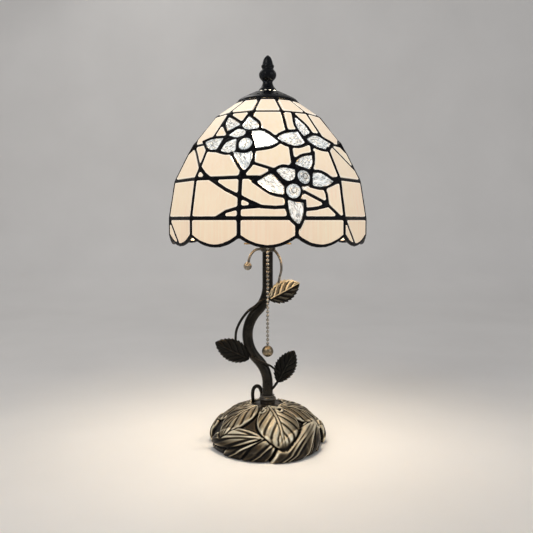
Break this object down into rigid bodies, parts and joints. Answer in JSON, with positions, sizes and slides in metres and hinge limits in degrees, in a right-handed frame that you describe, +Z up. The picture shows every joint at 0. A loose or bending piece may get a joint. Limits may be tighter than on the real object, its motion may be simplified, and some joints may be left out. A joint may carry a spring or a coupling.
{
  "type": "stained glass table lamp",
  "caption": "Table lamp with a twelve-sided leaded glass dome shade on a harp, a winding vine stem with leaves, a cast leaf base and a bead pull chain.",
  "frame": {"origin": "centre of the base's underside, on the table", "axes": "+Z up along the lamp's axis; -Y towards the viewer, where the pull chain hangs; +X to the viewer's right"},
  "size_m": [0.2009, 0.2006, 0.4063],
  "materials": {
    "felt": "matte felt",
    "steel": "zinc plated",
    "weight_iron": "raw casting",
    "base_bronze": "antiqued bronze, ridges rubbed bright",
    "stem_bronze": "dark antiqued bronze",
    "gilt_leaf": "rubbed antique brass",
    "rubber": "matte",
    "black_metal": "satin black",
    "brass": "aged",
    "phenolic": "moulded",
    "liner_card": "pressed card",
    "aluminium": "rolled thread",
    "bulb_glass": "frosted",
    "filament": "wire on a glass mount",
    "came": "lead with black patina",
    "opal_glass": "streaky opal",
    "clear_glass": "hammered clear",
    "jewel_glass": "pressed clear"
  },
  "bodies": {
    "root": {"base_felt": "felt", "base_plate": "steel", "base_screws": "steel", "base_weight": "weight_iron", "base_casting": "base_bronze", "base_washer": "steel", "base_nut": "steel", "cord_bushing": "rubber", "stem_collar": "stem_bronze", "stem_tube": "stem_bronze", "stem_cup": "stem_bronze", "stem_spacer": "black_metal", "leaf_upper": "gilt_leaf", "leaf_left": "stem_bronze", "leaf_lower": "stem_bronze", "vine_mid": "stem_bronze", "vine_lower": "stem_bronze", "tendril_left": "stem_bronze", "tendril_right": "stem_bronze", "base_curl": "stem_bronze", "harp_saddle": "brass", "harp_ferrules": "brass", "harp_loop": "brass", "harp_stud": "brass", "harp_washer": "steel", "socket_cap": "brass", "socket_nut": "steel", "socket_shell": "brass", "socket_liner": "liner_card", "socket_insulator": "phenolic", "screw_shell": "aluminium", "centre_contact": "brass", "chain_bell": "brass"},
    "shade": {"came_ribs": "came", "came_hoops": "came", "came_petals": "came", "came_vines": "came", "came_jewels": "came", "glass_crown": "opal_glass", "glass_upper": "opal_glass", "glass_middle": "opal_glass", "glass_lower": "opal_glass", "glass_skirt": "opal_glass", "petals_flower": "clear_glass", "petals_bud": "clear_glass", "petals_blossom": "clear_glass", "jewels": "jewel_glass", "crown_ring": "brass", "vase_cap": "black_metal"},
    "finial": {"finial": "black_metal"},
    "bulb": {"bulb_base": "aluminium", "bulb_contact": "brass", "bulb_glass": "bulb_glass", "bulb_filament": "filament"},
    "pull": {"chain_stub": "brass"},
    "lever": {"switch_lever": "brass", "switch_spring": "steel"},
    "chain_top": {"chain_upper": "brass"},
    "chain_end": {"chain_lower": "brass", "pull_ball": "gilt_leaf"}
  },
  "joints": [
    {"name": "shade_turn", "type": "hinge", "parent": "root", "child": "shade", "pos_m": [0, 0, 0.36], "axis": [0, 0, 1], "continuous": true},
    {"name": "finial_turn", "type": "hinge", "parent": "root", "child": "finial", "pos_m": [0, 0, 0.375], "axis": [0, 0, 1], "continuous": true},
    {"name": "bulb_turn", "type": "hinge", "parent": "root", "child": "bulb", "pos_m": [0, 0, 0.255], "axis": [0, 0, 1], "continuous": true},
    {"name": "chain_pull", "type": "slide", "parent": "root", "child": "pull", "axis": [0, 0, -1], "range_m": [0, 0.006], "stiffness_N_per_m": 250, "springref_m": -0.004},
    {"name": "lever_turn", "type": "hinge", "parent": "root", "child": "lever", "pos_m": [0, -0.0095, 0.23], "axis": [1, 0, 0], "range_deg": [0, 30]},
    {"name": "chain_swing", "type": "hinge", "parent": "pull", "child": "chain_top", "pos_m": [0, -0.0215, 0.21805], "axis": [1, 0, 0], "range_deg": [-35, 3]},
    {"name": "chain_sway", "type": "hinge", "parent": "chain_top", "child": "chain_end", "pos_m": [0, -0.0215, 0.16475], "axis": [0, 1, 0], "range_deg": [-20, 20]}
  ],
  "couplings": [
    {"joint": "lever_turn", "follows": "chain_pull", "rad_per_m": 87}
  ]
}
